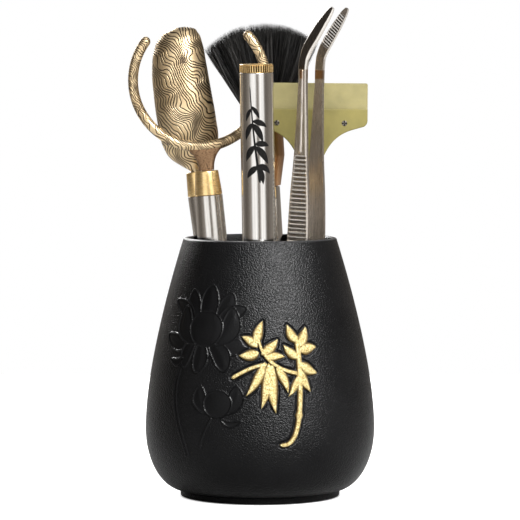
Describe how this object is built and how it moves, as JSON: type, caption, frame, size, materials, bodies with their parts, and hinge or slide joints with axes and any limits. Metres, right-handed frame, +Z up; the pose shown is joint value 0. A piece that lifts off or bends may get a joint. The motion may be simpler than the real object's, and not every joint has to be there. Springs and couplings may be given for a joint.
{
  "type": "tea tool pot",
  "caption": "Bellied ceramic pot with a relief, holding a tea scoop, a cup fork, a needle in a case, a brush, a scraper and tweezers.",
  "frame": {"origin": "centre of the pot's base, at table height", "axes": "+Z up along the pot's axis, -Y towards the front, where the needle case stands"},
  "size_m": [0.1064, 0.0994, 0.2113],
  "materials": {
    "pot": "matte black, fine pebbled grain",
    "bronze": "antique, engraved",
    "gold": "satin gold",
    "steel": "brushed",
    "tweezer_steel": "dark satin",
    "hair": "matte bristle",
    "copper": "copper brown, satin",
    "green_rubber": "matte yellow-green",
    "green_plastic": "satin yellow-green",
    "seal": "black"
  },
  "bodies": {
    "pot": {"pot_body": "pot"},
    "scoop": {"scoop_bowl": "bronze", "scoop_collar": "gold", "scoop_handle": "steel", "scoop_end_cap": "steel"},
    "cup_fork": {"cup_fork_ring": "bronze", "cup_fork_collar": "gold", "cup_fork_handle": "steel", "cup_fork_end_cap": "steel"},
    "needle_case": {"needle_case_tube": "steel", "needle_case_insert": "gold", "needle_case_base_plug": "steel"},
    "needle_seal": {"needle_o_ring": "seal"},
    "needle": {"needle_case_cap": "gold", "needle_plug": "gold", "tea_needle": "steel"},
    "brush": {"brush_bristles": "hair", "brush_ferrule": "copper", "brush_handle": "steel", "brush_end_cap": "steel"},
    "scraper": {"scraper_blade": "green_rubber", "scraper_holder_front": "green_plastic", "scraper_holder_back": "green_plastic", "scraper_screw_1": "steel", "scraper_screw_2": "steel", "scraper_stem": "gold", "scraper_collar": "gold", "scraper_handle": "steel", "scraper_end_cap": "steel"},
    "tweezers": {"tweezers_end_block": "tweezer_steel"},
    "tweezers_left": {"tweezers_arm_left": "tweezer_steel"},
    "tweezers_right": {"tweezers_arm_right": "tweezer_steel"}
  },
  "joints": [
    {"name": "scoop_lift", "type": "slide", "parent": "pot", "child": "scoop", "axis": [-0.158, 0.0099, 0.9874], "range_m": [0, 0.12]},
    {"name": "cup_fork_lift", "type": "slide", "parent": "pot", "child": "cup_fork", "axis": [-0.0807, -0.005, 0.9967], "range_m": [0, 0.12]},
    {"name": "needle_case_lift", "type": "slide", "parent": "pot", "child": "needle_case", "axis": [-0.016, -0.03, 0.9994], "range_m": [0, 0.12]},
    {"name": "needle_draw", "type": "slide", "parent": "needle_case", "child": "needle_seal", "axis": [-0.016, -0.03, 0.9994], "range_m": [0, 0.125]},
    {"name": "cap_turn", "type": "hinge", "parent": "needle_seal", "child": "needle", "pos_m": [0.00128, -0.01684, 0.0067], "axis": [-0.016, -0.03, 0.9994], "range_deg": [0, 1080]},
    {"name": "brush_lift", "type": "slide", "parent": "pot", "child": "brush", "axis": [-0.0599, 0, 0.9982], "range_m": [0, 0.12]},
    {"name": "scraper_lift", "type": "slide", "parent": "pot", "child": "scraper", "axis": [0.008, 0, 1], "range_m": [0, 0.12]},
    {"name": "tweezers_lift", "type": "slide", "parent": "pot", "child": "tweezers", "axis": [0.032, 0, 0.9995], "range_m": [0, 0.12]},
    {"name": "tweezers_squeeze_left", "type": "hinge", "parent": "tweezers", "child": "tweezers_left", "pos_m": [0.01698, -0.0085, 0.02069], "axis": [-0.7658, 0.6426, 0.0245], "range_deg": [0, 1.3], "stiffness_Nm_per_rad": 2},
    {"name": "tweezers_squeeze_right", "type": "hinge", "parent": "tweezers", "child": "tweezers_right", "pos_m": [0.01698, -0.0085, 0.02069], "axis": [-0.7658, 0.6426, 0.0245], "range_deg": [-1.3, 0], "stiffness_Nm_per_rad": 2}
  ],
  "couplings": [
    {"joint": "tweezers_squeeze_right", "follows": "tweezers_squeeze_left", "ratio": -1}
  ]
}
